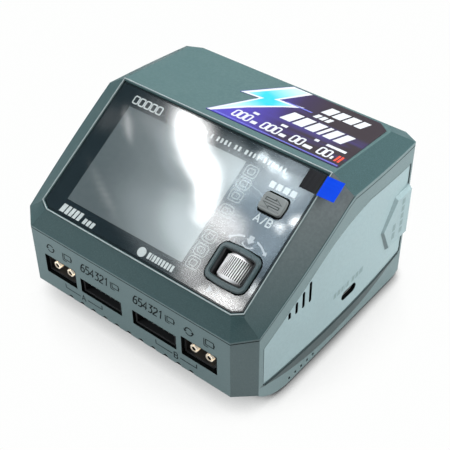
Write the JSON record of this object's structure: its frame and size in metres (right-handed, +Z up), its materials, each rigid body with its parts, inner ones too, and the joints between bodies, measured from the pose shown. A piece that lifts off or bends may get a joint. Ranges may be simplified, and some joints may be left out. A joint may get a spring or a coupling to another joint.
{
  "type": "balance battery charger",
  "caption": "Desktop balance battery charger with a sloped glass front panel, a ribbed roller wheel, paired output and balance sockets, side trims and a rear fan.",
  "frame": {"origin": "on the ground under the middle of the case", "axes": "+Z up, -Y towards the front with the output sockets, +X to the right of someone facing the front"},
  "size_m": [0.118, 0.1063, 0.0772],
  "materials": {
    "case_lower": "fine matte texture",
    "case_upper": "fine matte texture",
    "side_trim": "satin",
    "panel_glass": "polished black glass",
    "film": "clear film",
    "tab": "blue film",
    "wheel_metal": "turned satin",
    "bezel": "satin",
    "black_plastic": "fine matte",
    "button_plastic": "satin",
    "label_print": "printed sticker",
    "brass": "gold plated",
    "steel": "zinc plated",
    "board": "solder mask",
    "chip": "moulded epoxy",
    "rubber": "soft matte",
    "core": "sintered ferrite",
    "copper": "enamelled copper wire",
    "heatsink": "extruded",
    "pad": "silicone",
    "sleeve": "shrink sleeve",
    "glass_tube": "clear",
    "wire": "silicone insulation"
  },
  "bodies": {
    "charger": {"ac_inlet": "black_plastic", "ac_pins": "steel", "ac_wires": "wire", "balance_housings": "black_plastic", "balance_pins": "steel", "board_ribbon": "board", "board_screws": "steel", "bulk_capacitors": "sleeve", "button_switch": "chip", "buzzer": "black_plastic", "case_base": "case_lower", "case_cover": "case_upper", "case_screws": "steel", "choke": "core", "control_chip": "chip", "dc_contacts": "brass", "dc_inlet": "black_plastic", "dc_wires": "wire", "display_module": "chip", "fan_bearing": "brass", "fan_cable": "wire", "fan_frame": "black_plastic", "fan_screws": "steel", "feet": "rubber", "film_pull_tab": "tab", "fuse": "glass_tube", "heatsink": "heatsink", "main_board": "board", "output_capacitors": "sleeve", "output_coils": "core", "output_contacts": "brass", "output_housings": "black_plastic", "panel_glass": "panel_glass", "power_board": "board", "power_transistors": "chip", "protective_film": "film", "radio_module": "chip", "side_trim_left": "side_trim", "side_trim_right": "side_trim", "thermal_pad": "pad", "top_label": "label_print", "transformer_core": "core", "transformer_winding": "copper", "ui_board": "board", "ui_screws": "steel", "usb_board": "board", "usb_shell": "steel", "usb_tongue": "black_plastic", "wheel_bezel": "bezel", "wheel_guide": "black_plastic", "wheel_liner": "black_plastic", "wheel_switch": "chip"},
    "wheel_fork": {"wheel_carriage": "black_plastic"},
    "wheel": {"scroll_wheel": "wheel_metal", "wheel_axle": "steel"},
    "wheel_plunger": {"wheel_switch_plunger": "black_plastic"},
    "button": {"port_button": "button_plastic"},
    "button_plunger": {"button_plunger": "black_plastic"},
    "fan": {"fan_rotor": "black_plastic", "fan_shaft": "steel"}
  },
  "joints": [
    {"name": "wheel_press", "type": "slide", "parent": "charger", "child": "wheel_fork", "axis": [0, 0.5267, -0.8501], "range_m": [0, 0.0006]},
    {"name": "wheel_spin", "type": "hinge", "parent": "wheel_fork", "child": "wheel", "pos_m": [0.0364, -0.03233, 0.04869], "axis": [0, 0.8501, 0.5267], "continuous": true},
    {"name": "wheel_plunger_press", "type": "slide", "parent": "charger", "child": "wheel_plunger", "axis": [0, 0.5267, -0.8501], "range_m": [0, 0.0006]},
    {"name": "button_press", "type": "slide", "parent": "charger", "child": "button", "axis": [0, 0.5267, -0.8501], "range_m": [0, 0.0006]},
    {"name": "button_plunger_press", "type": "slide", "parent": "charger", "child": "button_plunger", "axis": [0, 0.5267, -0.8501], "range_m": [0, 0.0006]},
    {"name": "fan_spin", "type": "hinge", "parent": "charger", "child": "fan", "pos_m": [-0.02, 0.045, 0.0352], "axis": [0, 1, 0], "continuous": true}
  ],
  "couplings": [
    {"joint": "wheel_plunger_press", "follows": "wheel_press", "ratio": 1},
    {"joint": "button_plunger_press", "follows": "button_press", "ratio": 1}
  ]
}
